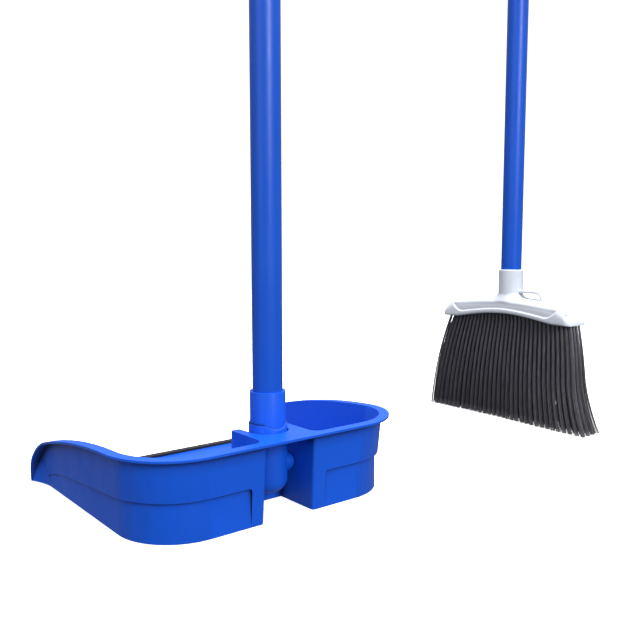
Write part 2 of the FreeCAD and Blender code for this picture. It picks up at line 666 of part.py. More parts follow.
def handle_knuckle():
    """One moulding: the pivoting knuckle, the ring above the deck with its sloped
    rear edge, and the collar that holds the tube."""
    at = {"y": f"-{cell('pivot_back')}"}
    post = cylinder("knuckle_post", cell("knuckle_radius"),
                    f"{cell('ring_top')} - {cell('knuckle_low')}",
                    z=cell("knuckle_low"), **at)
    rounded = fillet("knuckle_rounded", post, [(
        lambda edge: abs(edge.BoundBox.ZMax - size["knuckle_low"]) < 0.1,
        size["knuckle_round"])])
    rear = -size["pivot_back"] - size["knuckle_radius"]
    rear_text = f"-{cell('pivot_back')} - {cell('knuckle_radius')}"
    profile = polygon("ring_bevel_side", [
        (rear, size["ring_rear"], rear_text, cell("ring_rear")),
        (rear + size["ring_bevel"], size["ring_top"],
         f"{rear_text} + {cell('ring_bevel')}", cell("ring_top")),
        (rear + size["ring_bevel"], size["ring_top"] + 5,
         f"{rear_text} + {cell('ring_bevel')}", f"{cell('ring_top')} + 5"),
        (rear - 5, size["ring_top"] + 5, f"{rear_text} - 5", f"{cell('ring_top')} + 5"),
        (rear - 5, size["ring_rear"], f"{rear_text} - 5", cell("ring_rear")),
    ], FreeCAD.Placement(V(-30, 0, 0), SIDE_VIEW))
    bevel = extrude("ring_bevel", profile, V(1, 0, 0), "60")
    trimmed = cut("knuckle_trimmed", rounded, bevel)
    collar = cylinder("collar", cell("collar_radius"),
                      f"{cell('collar_top')} - {cell('rim_height')}",
                      z=cell("rim_height"), **at)
    outer = fuse("knuckle_outer", trimmed, collar)
    socket = cylinder("knuckle_socket", f"{cell('tube_radius')} + {cell('fit_gap')}", "80",
                      z=cell("socket_low"), **at)
    inner = f"({cell('knuckle_radius')} - 3)"
    seats = cylinder("bush_seats", cell("bush_radius"), "60", x="-30", turn=ALONG_X,
                     z=cell("pivot_height"), **at)
    rib = cylinder("bush_rib", f"{cell('bush_radius')} + 1", f"2 * {inner}",
                   x=f"-{inner}", turn=ALONG_X, z=cell("pivot_height"), **at)
    bush_space = cut("bush_space", seats, rib)
    bore = cylinder("knuckle_bore", f"{cell('axle_radius')} + {cell('axle_play')}", "60",
                    x="-30", turn=ALONG_X, z=cell("pivot_height"), **at)
    core = cylinder("knuckle_core", "10.5", f"{cell('socket_low')} - 51", z="48", **at)
    rivet = rivet_space("pan_rivet_space", f"-{cell('pivot_back')}")
    node("handle_knuckle", cut_all("knuckle", outer, socket, bush_space, bore, core, rivet))


def rivet_space(name, y):
    """The hole that the rivet's shank fills, through collar and tube."""
    return cylinder(name, cell("rivet_radius"), "20", y=y, z="88", turn=ALONG_Y)


def tube_rivet():
    """The rivet that pins the tube in the collar, at the front."""
    y = f"-{cell('pivot_back')}"
    shank = cylinder("rivet_shank", cell("rivet_radius"),
                     f"{cell('collar_radius')} - 8", y=f"{y} + 8", z="88", turn=ALONG_Y)
    dome = cylinder("rivet_dome", cell("rivet_head"), cell("rivet_dome"),
                    y=f"{y} + {cell('collar_radius')} - 0.2", z="88", turn=ALONG_Y)
    seat = cylinder("rivet_seat", cell("collar_radius"), "40", y=y, z="70")
    rounded = fillet("rivet_rounded", dome, [(
        lambda edge: edge.BoundBox.YMin > dome.Shape.BoundBox.YMax - 0.1, 0.9)])
    node("tube_rivet", fuse("rivet", shank, cut("rivet_cap", rounded, seat)))


# ---------------------------------------------------------------- tubes and caps

def tube(name, x, y, low, high, hole=None):
    """A thin steel tube."""
    skin = cylinder(f"{name}_skin", cell("tube_radius"), f"{high} - {low}", x=x, y=y, z=low)
    core = cylinder(f"{name}_core", f"{cell('tube_radius')} - {cell('tube_wall')}",
                    f"{high} - {low} + 2", x=x, y=y, z=f"{low} - 1")
    tools = [core] if hole is None else [core, hole]
    node(name, cut_all(f"{name}_pipe", skin, *tools))


def hang_cap(name, x, y, top, hole_turn):
    """The cap over a tube's upper end, narrowing to a flat eye with a hanging hole."""
    sleeve = cylinder(f"{name}_sleeve", cell("cap_radius"),
                      f"{cell('cap_sleeve')} + {cell('cap_eye')}",
                      x=x, y=y, z=f"{top} - {cell('cap_sleeve')}")
    crown = fillet(f"{name}_crown", sleeve, [(
        lambda edge: edge.BoundBox.ZMin > sleeve.Shape.BoundBox.ZMax - 0.1, 11.0)])
    along = "y" if hole_turn is ALONG_Y else "x"
    cheeks = []
    for side in (-1, 1):
        offset = f"{side} * ({cell('cap_thick')} / 2 + 20)"
        wide, deep = ("80", "40") if along == "y" else ("40", "80")
        place = {"x": x, "y": y, "z": f"{top} + 9"}
        place[along] = f"{place[along]} + {offset}"
        cheek = box(f"{name}_cheek_{'low' if side < 0 else 'high'}", wide, deep, "60", **place)
        cheeks.append(cheek)
    space = cylinder(f"{name}_space", f"{cell('tube_radius')} + {cell('fit_gap')}",
                     f"{cell('cap_sleeve')} + 1", x=x, y=y,
                     z=f"{top} - {cell('cap_sleeve')} - 1")
    place = {"x": x, "y": y, "z": f"{top} + {cell('cap_eye')} - 13"}
    place[along] = f"{place[along]} - 25"
    eye = cylinder(f"{name}_hole", cell("cap_hole"), "50", turn=hole_turn, **place)
    node(name, cut_all(f"{name}_moulding", crown, *cheeks, space, eye))


# ---------------------------------------------------------------- the broom

def broom_head():
    """The head's shell: arched skirt, rounded ends and edges, socket and loop."""
    half, rise = size["head_half_long"], size["head_end_top"]
    sketch = doc.addObject("Sketcher::SketchObject", "head_side")
    sketch.Placement = FreeCAD.Placement(V(), SIDE_VIEW)
    bind(sketch, x=f"{cell('broom_x')} - {cell('head_half_wide')}")
    crown = sketch.addGeometry(Part.Arc(
        V(-half, rise, 0), V(0, size["head_mid_top"], 0), V(half, rise, 0)))
    right = sketch.addGeometry(Part.LineSegment(V(half, rise, 0), V(half, size["skirt_end"], 0)))
    arch = size["skirt_half"]
    hem_right = sketch.addGeometry(Part.LineSegment(
        V(half, size["skirt_end"], 0), V(arch, size["skirt_end"], 0)))
    skirt = sketch.addGeometry(Part.Arc(
        V(arch, size["skirt_end"], 0), V(0, size["skirt_mid"], 0),
        V(-arch, size["skirt_end"], 0)))
    hem_left = sketch.addGeometry(Part.LineSegment(
        V(-arch, size["skirt_end"], 0), V(-half, size["skirt_end"], 0)))
    left = sketch.addGeometry(Part.LineSegment(V(-half, size["skirt_end"], 0), V(-half, rise, 0)))
    add = sketch.addConstraint
    add(Sketcher.Constraint("Coincident", crown, 1, right, 1))
    add(Sketcher.Constraint("Coincident", right, 2, hem_right, 1))
    add(Sketcher.Constraint("Coincident", hem_right, 2, skirt, 1))
    add(Sketcher.Constraint("Coincident", skirt, 2, hem_left, 1))
    add(Sketcher.Constraint("Coincident", hem_left, 2, left, 1))
    add(Sketcher.Constraint("Horizontal", hem_right))
    add(Sketcher.Constraint("Horizontal", hem_left))
    add(Sketcher.Constraint("Symmetric", skirt, 1, skirt, 2, -2))
    add(Sketcher.Constraint("Coincident", left, 2, crown, 2))
    add(Sketcher.Constraint("Vertical", right))
    add(Sketcher.Constraint("Vertical", left))
    add(Sketcher.Constraint("Symmetric", crown, 1, crown, 2, -2))
    crown_radius = arc_radius(half, size["head_mid_top"] - rise)
    skirt_radius = arc_radius(arch, size["skirt_mid"] - size["skirt_end"])
    dimension(sketch, [
        ("half", Sketcher.Constraint("DistanceX", -1, 1, right, 1, half),
         cell("head_half_long")),
        ("rise", Sketcher.Constraint("DistanceY", -1, 1, right, 1, rise),
         cell("head_end_top")),
        ("hem", Sketcher.Constraint("DistanceY", -1, 1, right, 2, size["skirt_end"]),
         cell("skirt_end")),
        ("crown", Sketcher.Constraint("Radius", crown, crown_radius),
         arc_radius_text("head_half_long", "head_mid_top", "head_end_top")),
        ("arch", Sketcher.Constraint("DistanceX", -1, 1, hem_right, 2, arch),
         cell("skirt_half")),
        ("skirt", Sketcher.Constraint("Radius", skirt, skirt_radius),
         arc_radius_text("skirt_half", "skirt_mid", "skirt_end")),
    ])
    bar = extrude("head_bar", sketch, V(1, 0, 0), f"2 * {cell('head_half_wide')}")
    ends = fillet("head_ends", bar, [(is_upright_line, size["head_end_round"])])
    edged = fillet("head_edged", ends, [(
        lambda edge: middle(edge).z > rise - 1, size["head_edge_round"])])
    at = {"x": cell("broom_x")}
    neck = cylinder("head_neck", cell("broom_socket_radius"),
                    f"{cell('broom_socket_top')} - {cell('head_end_top')}",
                    z=cell("head_end_top"), **at)
    joined = fillet("head_joined", fuse("head_with_neck", edged, neck), [(is_neck_edge, 8.0)])
    hollow = box("head_hollow", f"2 * {cell('shell_inner_wide')}",
                 f"2 * {cell('shell_inner_long')}", f"{cell('block_high')} - 100",
                 z="100", **at)
    mouth = fillet("head_mouth", box(
        "head_mouth_sharp", f"2 * {cell('mouth_half_wide')}", f"2 * {cell('mouth_half_long')}",
        f"{cell('block_low')} - 100", z="100", **at),
        [(is_upright_line, size["mouth_round"])])
    seat = cylinder("tube_seat", f"{cell('tube_radius')} + {cell('fit_gap')}", "60",
                    z=cell("tube_seat"), **at)
    thread = cylinder("thread_hole", f"{cell('thread_radius')} + {cell('fit_gap')}", "60",
                      z=cell("thread_low"), **at)
    screws = [cylinder(f"screw_hole_{side}", cell("screw_radius"), "15", y=place, z="132",
                       **at)
              for side, place in SCREWS]
    shell = cut_all("head_shell", fuse("head_with_loop", joined, hanging_loop()),
                    hollow, mouth, seat, thread, *screws)
    node("broom_head", shell)


def is_upright_line(edge):
    """An exactly vertical straight edge."""
    return edge.BoundBox.YLength < 0.1 and edge.BoundBox.XLength < 0.1


def arc_radius(half, rise):
    """Radius of an arc from its half chord and its rise."""
    return (half ** 2 + rise ** 2) / (2 * rise)


def arc_radius_text(half, high, low):
    rise = f"({cell(high)} - {cell(low)})"
    return f"({cell(half)} ^ 2 + {rise} ^ 2) / (2 * {rise})"


def is_neck_edge(edge):
    """The line where the socket leaves the head."""
    box_size = edge.BoundBox
    point = middle(edge)
    off_axis = ((point.x - size["broom_x"]) ** 2 + point.y ** 2) ** 0.5
    on_neck = abs(off_axis - size["broom_socket_radius"]) < 0.2
    return on_neck and box_size.ZMax < size["head_mid_top"] + 1 and box_size.ZLength < 3 \
        and box_size.ZMax > size["head_end_top"] + 1


def hanging_loop():
    """A flat strap that leaves the socket, runs level and turns down to the head."""
    bar = size["loop_bar"]
    near, far, top = size["loop_near"], size["loop_far"], size["loop_top"]
    outer = polygon("loop_outline", [
        (-far, size["head_end_top"], f"-{cell('loop_far')}", cell("head_end_top")),
        (-far, top, f"-{cell('loop_far')}", cell("loop_top")),
        (-near, top, f"-{cell('loop_near')}", cell("loop_top")),
        (-near, top - bar, f"-{cell('loop_near')}", f"{cell('loop_top')} - {cell('loop_bar')}"),
        (-far + bar, top - bar, f"-{cell('loop_far')} + {cell('loop_bar')}",
         f"{cell('loop_top')} - {cell('loop_bar')}"),
        (-far + bar, size["head_end_top"], f"-{cell('loop_far')} + {cell('loop_bar')}",
         cell("head_end_top")),
    ], FreeCAD.Placement(V(), SIDE_VIEW))
    bind(outer, x=f"{cell('broom_x')} - {cell('loop_wide')} / 2")
    strap = extrude("loop_strap", outer, V(1, 0, 0), cell("loop_wide"))
    return fillet("loop_rounded", strap, [
        (lambda edge: is_loop_corner(edge, top, -far), 11.0),
        (lambda edge: is_loop_corner(edge, top - bar, -far + bar), 8.0)])


def is_loop_corner(edge, height, along):
    point = middle(edge)
    return abs(point.z - height) < 0.1 and abs(point.y - along) < 0.1


def bristle_block():
    """The block that the tufts are set in, with two stepped screw holes."""
    at = {"x": cell("broom_x")}
    block = box("block_bar", f"2 * {cell('shell_inner_wide')} - 0.4",
                f"2 * {cell('shell_inner_long')} - 0.4",
                f"{cell('block_high')} - {cell('block_low')} - 0.1",
                z=cell("block_low"), **at)
    holes = []
    for side, place in SCREWS:
        holes.append(cylinder(f"block_hole_{side}", cell("screw_radius"), "20",
                              y=place, z="130", **at))
        holes.append(cylinder(f"block_recess_{side}", f"{cell('screw_head')} + 0.2",
                              f"{cell('screw_recess')} + 5",
                              y=place, z=f"{cell('block_low')} - 5", **at))
    node("bristle_block", cut_all("block", block, *holes))


def block_screws():
    """Two self-tapping screws that hold the block in the shell, heads sunk in it."""
    screws = []
    for side, place in SCREWS:
        at = {"x": cell("broom_x"), "y": place}
        seat = f"{cell('block_low')} + {cell('screw_recess')}"
        shank = cylinder(f"screw_shank_{side}", cell("screw_radius"), "9.4", z=seat, **at)
        head = cylinder(f"screw_head_{side}", cell("screw_head"), "1.6",
                        z=f"{seat} - 1.6", **at)
        screws.append(fuse(f"screw_{side}", shank, head))
    group = doc.addObject("Part::Compound", "screw_pair")
    group.Links = screws
    node("block_screws", group)


def bristle_rows():
    """Four rows of tufts, each a plain fan from the block down to the floor."""
    for row in range(4):
        order = row - 1.5
        sections = []
        for level, height, half, pitch in (
                ("low", 0.0, "tip_half", "tip_pitch"),
                ("high", size["block_low"], "root_half", "root_pitch")):
            wide = (size[pitch] - size["row_gap"]) / 2
            wide_text = f"({cell(pitch)} - {cell('row_gap')}) / 2"
            centre = order * size[pitch]
            centre_text = f"{order} * {cell(pitch)}"
            long, long_text = size[half], cell(half)
            outline = polygon(f"row_{row + 1}_{level}", [
                (centre - wide, -long, f"{centre_text} - {wide_text}", f"-{long_text}"),
                (centre + wide, -long, f"{centre_text} + {wide_text}", f"-{long_text}"),
                (centre + wide, long, f"{centre_text} + {wide_text}", long_text),
                (centre - wide, long, f"{centre_text} - {wide_text}", long_text),
            ], FreeCAD.Placement(V(0, 0, height), FreeCAD.Rotation()))
            bind(outline, x=cell("broom_x"))
            if height:
                bind(outline, z=cell("block_low"))
            sections.append(outline)
        node(f"bristle_row_{row + 1}", loft(f"fan_{row + 1}", *sections))


def threaded_tip():
    """The plastic tip that plugs the tube and screws into the head."""
    at = {"x": cell("broom_x")}
    plug = cylinder("tip_plug", f"{cell('tube_radius')} - {cell('tube_wall')} - 0.05", "24",
                    z=cell("tube_seat"), **at)
    screw = cylinder("tip_screw", cell("thread_radius"),
                     f"{cell('tube_seat')} - {cell('thread_low')} - 0.5",
                     z=f"{cell('thread_low')} + 0.5", **at)
    node("threaded_tip", fuse("tip", plug, screw))


# ---------------------------------------------------------------- assembly

pan_body()
lip_strip()
pivot()
handle_knuckle()
tube_rivet()
PIVOT_Y = f"-{cell('pivot_back')}"
tube("pan_tube", "0", PIVOT_Y, cell("socket_low"), cell("pan_tube_top"),
     rivet_space("tube_rivet_space", PIVOT_Y))
hang_cap("pan_hang_cap", "0", PIVOT_Y, cell("pan_tube_top"), ALONG_Y)
broom_head()
bristle_block()
block_screws()
bristle_rows()
threaded_tip()
tube("broom_tube", cell("broom_x"), "0", cell("tube_seat"), cell("broom_tube_top"))
hang_cap("broom_hang_cap", cell("broom_x"), "0", cell("broom_tube_top"), ALONG_X)

doc.recompute()
for thing in doc.Objects:
    if "Invalid" in thing.State or "Error" in thing.State:
        raise RuntimeError(f"{thing.Name} failed to build")
for name, thing in nodes.items():
    if thing.Shape.isNull() or not thing.Shape.isValid():
        raise RuntimeError(f"{name} has no valid shape")

os.makedirs("parts", exist_ok=True)
for name, thing in nodes.items():
    thing.Shape.exportStep(f"parts/{name}.step")
    print(name, len(thing.Shape.Solids), round(thing.Shape.Volume))
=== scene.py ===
import json
import math
import random
from types import SimpleNamespace

import bmesh
import bpy
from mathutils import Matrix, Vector
from mathutils.bvhtree import BVHTree


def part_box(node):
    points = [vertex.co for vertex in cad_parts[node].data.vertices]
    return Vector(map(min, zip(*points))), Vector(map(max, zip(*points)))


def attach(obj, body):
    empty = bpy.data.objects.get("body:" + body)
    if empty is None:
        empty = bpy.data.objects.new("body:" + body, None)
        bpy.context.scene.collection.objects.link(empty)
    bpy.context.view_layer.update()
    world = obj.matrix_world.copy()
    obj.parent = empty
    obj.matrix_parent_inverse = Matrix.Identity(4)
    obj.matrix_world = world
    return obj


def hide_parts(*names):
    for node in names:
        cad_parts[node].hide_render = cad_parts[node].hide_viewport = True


# The looks of the dust pan and its broom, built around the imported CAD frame.
# Sizes below are in millimetres and are turned into metres when a mesh is made.

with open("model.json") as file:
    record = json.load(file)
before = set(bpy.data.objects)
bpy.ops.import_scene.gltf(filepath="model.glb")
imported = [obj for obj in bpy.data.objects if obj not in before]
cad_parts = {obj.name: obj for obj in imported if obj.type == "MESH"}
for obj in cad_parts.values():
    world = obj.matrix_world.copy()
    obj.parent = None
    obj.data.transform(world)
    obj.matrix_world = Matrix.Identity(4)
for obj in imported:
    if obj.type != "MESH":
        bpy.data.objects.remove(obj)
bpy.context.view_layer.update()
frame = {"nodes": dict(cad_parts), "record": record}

MM = 0.001
nodes = frame["nodes"]
scene = bpy.context.scene
scene.view_settings.view_transform = "Standard"


def node_box(name):
    """A CAD node's box in millimetres."""
    low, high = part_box(name)
    return low / MM, high / MM


# ---------------------------------------------------------------- materials

def new_material(name):
    """An empty node material and its Principled shader."""
    material = bpy.data.materials.new(name)
    material.use_nodes = True
    return material, material.node_tree, material.node_tree.nodes["Principled BSDF"]


def noise(tree, scale, detail=2.0, stretch=(1, 1, 1)):
    """Noise in the object's own space, squeezed along an axis by stretch."""
    place = tree.nodes.new("ShaderNodeTexCoord")
    mapping = tree.nodes.new("ShaderNodeMapping")
    mapping.inputs["Scale"].default_value = stretch
    texture = tree.nodes.new("ShaderNodeTexNoise")
    texture.inputs["Scale"].default_value = scale
    texture.inputs["Detail"].default_value = detail
    tree.links.new(place.outputs["Object"], mapping.inputs["Vector"])
    tree.links.new(mapping.outputs["Vector"], texture.inputs["Vector"])
    return texture.outputs["Fac"]


def ramp(tree, value, low, high, start=0.3, end=0.7):
    """Turn a value between start and end into a mix of two colours or two greys."""
    node = tree.nodes.new("ShaderNodeValToRGB")
    first, last = node.color_ramp.elements
    first.position, last.position = start, end
    first.color = as_colour(low)
    last.color = as_colour(high)
    tree.links.new(value, node.inputs["Fac"])
    return node.outputs["Color"]


def as_colour(value):
    """A grey or a colour as four channels."""
    return (value, value, value, 1) if isinstance(value, float) else (*value, 1)


def bump(tree, shader, layers, strength):
    """Stack bump layers, each a height and its distance in metres."""
    normal = None
    for height, distance in layers:
        node = tree.nodes.new("ShaderNodeBump")
        node.inputs["Strength"].default_value = strength
        node.inputs["Distance"].default_value = distance
        tree.links.new(height, node.inputs["Height"])
        if normal is not None:
            tree.links.new(normal, node.inputs["Normal"])
        normal = node.outputs["Normal"]
    tree.links.new(normal, shader.inputs["Normal"])


def moulding(name, colour, shade, rough, grain=1500.0, depth=0.00003, specular=0.3,
             painted_shade_reach=0.0):
    """Moulded plastic: slight flow marks in the colour, uneven gloss, fine grain.

    depth is the grain's depth, and crevice is how far out of an inside corner the
    colour is darkened as painted shade, both in metres."""
    material, tree, shader = new_material(name)
    flow_marks = noise(tree, 8.0)
    gloss_patches = noise(tree, 40.0, 4.0)
    ripple = noise(tree, 18.0, 1.0)
    fine_grain = noise(tree, grain)
    base = ramp(tree, flow_marks, shade, colour)
    # Painted shade: where crevice is set, the colour darkens in inside corners, under ledges and
    # in creases.
    if painted_shade_reach:
        base = painted_corner_shade(tree, base, painted_shade_reach)
    tree.links.new(base, shader.inputs["Base Color"])
    tree.links.new(ramp(tree, gloss_patches, rough - 0.05, rough + 0.07),
                   shader.inputs["Roughness"])
    bump(tree, shader, [(ripple, depth * 8), (fine_grain, depth)], 0.2)
    shader.inputs["Specular IOR Level"].default_value = specular
    return material


def painted_corner_shade(tree, colour, distance):
    """Painted shade: a colour darkened in the part's own inside corners, where shade falls."""
    corner = tree.nodes.new("ShaderNodeAmbientOcclusion")
    corner.only_local = True
    corner.samples = 12
    corner.inputs["Distance"].default_value = distance
    # Painted shade: open surfaces keep their colour, and the deepest inside corners darken almost
    # to black.
    unshaded_share = ramp(tree, corner.outputs["AO"], 0.05, 1.0, 0.56, 0.96)
    return multiplied(tree, colour, unshaded_share)


def multiplied(tree, colour, factor):
    """One colour times another."""
    mix = tree.nodes.new("ShaderNodeMix")
    mix.data_type = "RGBA"
    mix.blend_type = "MULTIPLY"
    mix.inputs["Factor"].default_value = 1.0
    tree.links.new(colour, mix.inputs["A"])
    tree.links.new(factor, mix.inputs["B"])
    return mix.outputs["Result"]


BRISTLE_HEIGHT = 0.135      # metres over which the bristles' colour changes


def filament(name):
    """Dark synthetic filament with fine streaks, paler towards the head."""
    material, tree, shader = new_material(name)
    place = tree.nodes.new("ShaderNodeTexCoord")
    split = tree.nodes.new("ShaderNodeSeparateXYZ")
    tree.links.new(place.outputs["Object"], split.inputs["Vector"])
    height = tree.nodes.new("ShaderNodeMath")
    height.operation = "MULTIPLY"
    height.inputs[1].default_value = 1 / BRISTLE_HEIGHT
    tree.links.new(split.outputs["Z"], height.inputs[0])
    along = ramp(tree, height.outputs["Value"], (0.044, 0.043, 0.052), (0.118, 0.115, 0.142),
                 0.0, 1.0)
    streak = ramp(tree, noise(tree, 900.0, 1.0, (1, 1, 0.02)), 0.65, 1.25)
    tree.links.new(multiplied(tree, along, streak), shader.inputs["Base Color"])
    tree.links.new(ramp(tree, noise(tree, 300.0), 0.30, 0.44), shader.inputs["Roughness"])
    bump(tree, shader, [(noise(tree, 1200.0, 1.0, (1, 1, 0.3)), 0.0001)], 0.3)
    return material


def metal(name, colour, shade, rough):
    """Plated steel with uneven gloss and a faint grain."""
    material, tree, shader = new_material(name)
    tree.links.new(ramp(tree, noise(tree, 60.0, 3.0), shade, colour),
                   shader.inputs["Base Color"])
    tree.links.new(ramp(tree, noise(tree, 500.0, 3.0), rough - 0.06, rough + 0.08),
                   shader.inputs["Roughness"])
    shader.inputs["Metallic"].default_value = 1.0
    bump(tree, shader, [(noise(tree, 700.0, 2.0), 0.00003)], 0.2)
    return material


MATERIALS = {
    # The pan's plastic has painted shade in its own inside corners, such as beneath the rim's
    # flange.
    "pan_plastic": moulding("pan_plastic", (0.0044, 0.093, 0.66), (0.0036, 0.084, 0.61), 0.38,
                            painted_shade_reach=0.014),
    "tube_blue": moulding("tube_blue", (0.0048, 0.080, 0.52), (0.0042, 0.073, 0.49), 0.34,
                          grain=900.0),
    "cap_plastic": moulding("cap_plastic", (0.0035, 0.070, 0.50), (0.0028, 0.062, 0.46), 0.42),
    "bush_plastic": moulding("bush_plastic", (0.0040, 0.076, 0.55), (0.0035, 0.068, 0.50), 0.36),
    "lip_rubber": moulding("lip_rubber", (0.022, 0.022, 0.022), (0.014, 0.014, 0.014), 0.55,
                           depth=0.00008),
    "steel": metal("steel", (0.62, 0.62, 0.64), (0.50, 0.50, 0.53), 0.28),
    "head_plastic": moulding("head_plastic", (0.60, 0.64, 0.71), (0.57, 0.61, 0.68), 0.32,
                             specular=0.4),
    "block_plastic": moulding("block_plastic", (0.012, 0.012, 0.014), (0.008, 0.008, 0.010), 0.5),
    "bristle": filament("bristle"),
}


# ---------------------------------------------------------------- mesh helpers

def make_piece(name, vertices, faces, slot, body):
    """A mesh piece from millimetre vertices, with its finish, riding on a body."""
    mesh = bpy.data.meshes.new(name)
    mesh.from_pydata([Vector(v) * MM for v in vertices], [], faces)
    mesh.validate()
    mesh.shade_smooth()
    return finish_piece(bpy.data.objects.new(name, mesh), slot, body)


def finish_piece(piece, slot, body):
    """Link a piece, give it its finish and let it ride on a body."""
    if piece.name not in scene.collection.objects:
        scene.collection.objects.link(piece)
    piece.data.materials.clear()
    piece.data.materials.append(MATERIALS[slot])
    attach(piece, body)
    return piece


def band_faces(rows, around, first=0, flip=False):
    """The quads between successive rings of points, flipped where the rings run down."""
    faces = []
    for row in range(rows - 1):
        for step in range(around):
            a = first + row * around + step
            b = first + row * around + (step + 1) % around
            if flip:
                a, b = b, a
            faces.append((a, b, b + around, a + around))
    return faces


def smoothstep(value):
    """Ease from 0 to 1."""
    value = min(1.0, max(0.0, value))
    return value * value * (3 - 2 * value)


# ---------------------------------------------------------------- CAD nodes

def dress_nodes():
    """Give every CAD node its finish, and soften the edges of the moulded ones."""
    for part in frame["record"]["subparts"]:
        node = nodes[part["node"]]
        node.data.materials.clear()
        node.data.materials.append(MATERIALS[part["material_slot"]])
    soften("pan_body", 0.7)
    soften("lip_strip", 0.35)
    for name, width in (("handle_knuckle", 0.5), ("pivot_bush_left", 0.3),
                        ("pivot_bush_right", 0.3), ("pan_hang_cap", 0.6),
                        ("broom_hang_cap", 0.6), ("tube_rivet", 0.2), ("pivot_axle", 0.3)):
        soften(name, width)


def soften(name, width):
    """Round a node's sharp edges with modifiers, its own mesh left as it is."""
    node = nodes[name]
    weld = node.modifiers.new("weld", "WELD")
    weld.merge_threshold = 0.00001
    flatten = node.modifiers.new("flatten", "DECIMATE")
    flatten.decimate_type = "DISSOLVE"
    flatten.angle_limit = math.radians(0.5)
    bevel = node.modifiers.new("bevel", "BEVEL")
    bevel.width = width * MM
    bevel.segments = 3
    bevel.limit_method = "ANGLE"
    bevel.angle_limit = math.radians(28)
    bevel.use_clamp_overlap = True
    bevel.harden_normals = True
    bevel.miter_outer = "MITER_ARC"


# ---------------------------------------------------------------- broom head

BROOM_X = (node_box("broom_tube")[0].x + node_box("broom_tube")[1].x) / 2
HEAD_HALF = 97.8        # half length at the hem
HEAD_WIDE = 20.0        # half width at the hem
END_ROUND = 8.0         # plan round at the head's corners
END_HEM = 126.2         # hem height at the ends
MID_HEM = 134.9         # hem height at the middle
ARCH_HALF = 76.0        # half length of the hem's arch
CROWN = 156.0           # height of the head's top at the middle
CROWN_DROP = 5.0        # how much lower the top is at CROWN_RUN from the middle
CROWN_RUN = 72.0
SHOULDER = 0.25         # share of the height where the rounded top begins
END_LEAN = 14.5         # how far the end faces lean in
END_CURL = 4.5          # how much further they curl in at the very top
SOCKET = 15.3           # socket radius
SOCKET_TOP = 191.0
SOCKET_ROOT = 141.0     # height, inside the head, where the socket begins
FLARE = 9.0             # how far the socket's foot flares out
PANEL_HALF = 86.0       # half length of the sunk panels
PANEL_CLEAR = 13.0      # half width of the middle that the panels leave alone
PANEL_HEIGHT = 16.0     # height over which a panel grows shallower
PANEL_DEPTH = 1.7       # depth along its lower edge
PANEL_FADE = 5.0        # length over which a panel's top and ends run out


def hem_height(y):
    """Lower edge of the head: flat at the ends, arched in the middle."""
    out = min(1.0, abs(y) / ARCH_HALF)
    return END_HEM + (MID_HEM - END_HEM) * (1 - out * out) ** 1.4


def crown_height(y):
    """Upper line of the head along its length, before the ends round off."""
    return CROWN - CROWN_DROP * (abs(y) / CROWN_RUN) ** 1.6


def end_inset(share):
    """How far the end face has leaned in at a share of its height."""
    return END_LEAN * share ** 1.85 + END_CURL * share ** 9


def end_share(inset):
    """The share of the height that the end face reaches at an inset, by halving."""
    low, high = 0.0, 1.0
    for _ in range(30):
        half = (low + high) / 2
        if end_inset(half) < inset:
            low = half
        else:
            high = half
    return low


def build_head():
    """The shell, the socket with its flared foot, and the hanging loop, as one skin."""
    loaf = head_loaf()
    pieces = [socket_foot(loaf), loaf, head_socket(), head_loop()]
    head = join_and_fuse("broom_head_shell", pieces, voxel=0.5)
    sink_panels(head)
    for cutter in (*cavity_cutters(), bore_cutter()):
        carve(head, cutter)
    head.data.shade_smooth()
    head.data.set_sharp_from_angle(angle=math.radians(40))
    finish_piece(head, "head_plastic", "broom")
    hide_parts("broom_head")


def head_loaf():
    """The long rounded body of the head, as rings of points along its length."""
    rows = 161
    around = 56
    vertices = []
    for row in range(rows):
        y = HEAD_HALF * math.sin((-1 + 2 * row / (rows - 1)) * math.pi / 2)
        inset = HEAD_HALF - abs(y)
        corner = min(1.0, inset / END_ROUND)
        wide = HEAD_WIDE - END_ROUND * (1 - math.sqrt(max(0.0, 1 - (1 - corner) ** 2)))
        hem = hem_height(y)
        top = hem + (crown_height(y) - hem) * end_share(inset)
        for step in range(around):
            angle = 2 * math.pi * (step + 0.5) / around
            across = math.sin(angle)
            up = -math.cos(angle)
            x = wide * math.copysign(abs(across) ** 0.42, across)
            if up > 0:
                z = hem + (top - hem) * (SHOULDER + (1 - SHOULDER) * up ** 0.62)
                x *= 1 - 0.12 * up ** 2
            else:
                z = hem + (top - hem) * SHOULDER * (1 - min(1.0, (-up) ** 0.35))
            vertices.append((BROOM_X + x, y, z))
    return ring_solid("loaf", vertices, rows, around)


def socket_foot(loaf):
    """The flare around the socket's foot, laid over the body's rounded top."""
    tree = BVHTree.FromObject(loaf, bpy.context.evaluated_depsgraph_get())
    rings, around = 14, 96
    limit = HEAD_WIDE - 1.2
    inside = 2.0
    above = 200.0
    upper, lower = [], []
    for ring in range(rings):
        radius = SOCKET - inside + (FLARE + inside) * ring / (rings - 1)
        for step in range(around):
            angle = 2 * math.pi * step / around
            x = max(-limit, min(limit, radius * math.cos(angle)))
            y = radius * math.sin(angle)
            reach = min(1.0, max(0.0, (SOCKET + FLARE - math.hypot(x, y)) / FLARE))
            rise = FLARE * 0.75 * (1 - math.sqrt(1 - reach * reach))
            start = Vector((BROOM_X + x, y, above)) * MM
            top = tree.ray_cast(start, Vector((0, 0, -1)))[0].z / MM
            upper.append((BROOM_X + x, y, top + rise - 0.05))
            lower.append((BROOM_X + x, y, SOCKET_ROOT + 1.0))
    vertices = lower[:around] + upper + lower[-around:]
    return ring_solid("foot", vertices, rings + 2, around, closed=True)


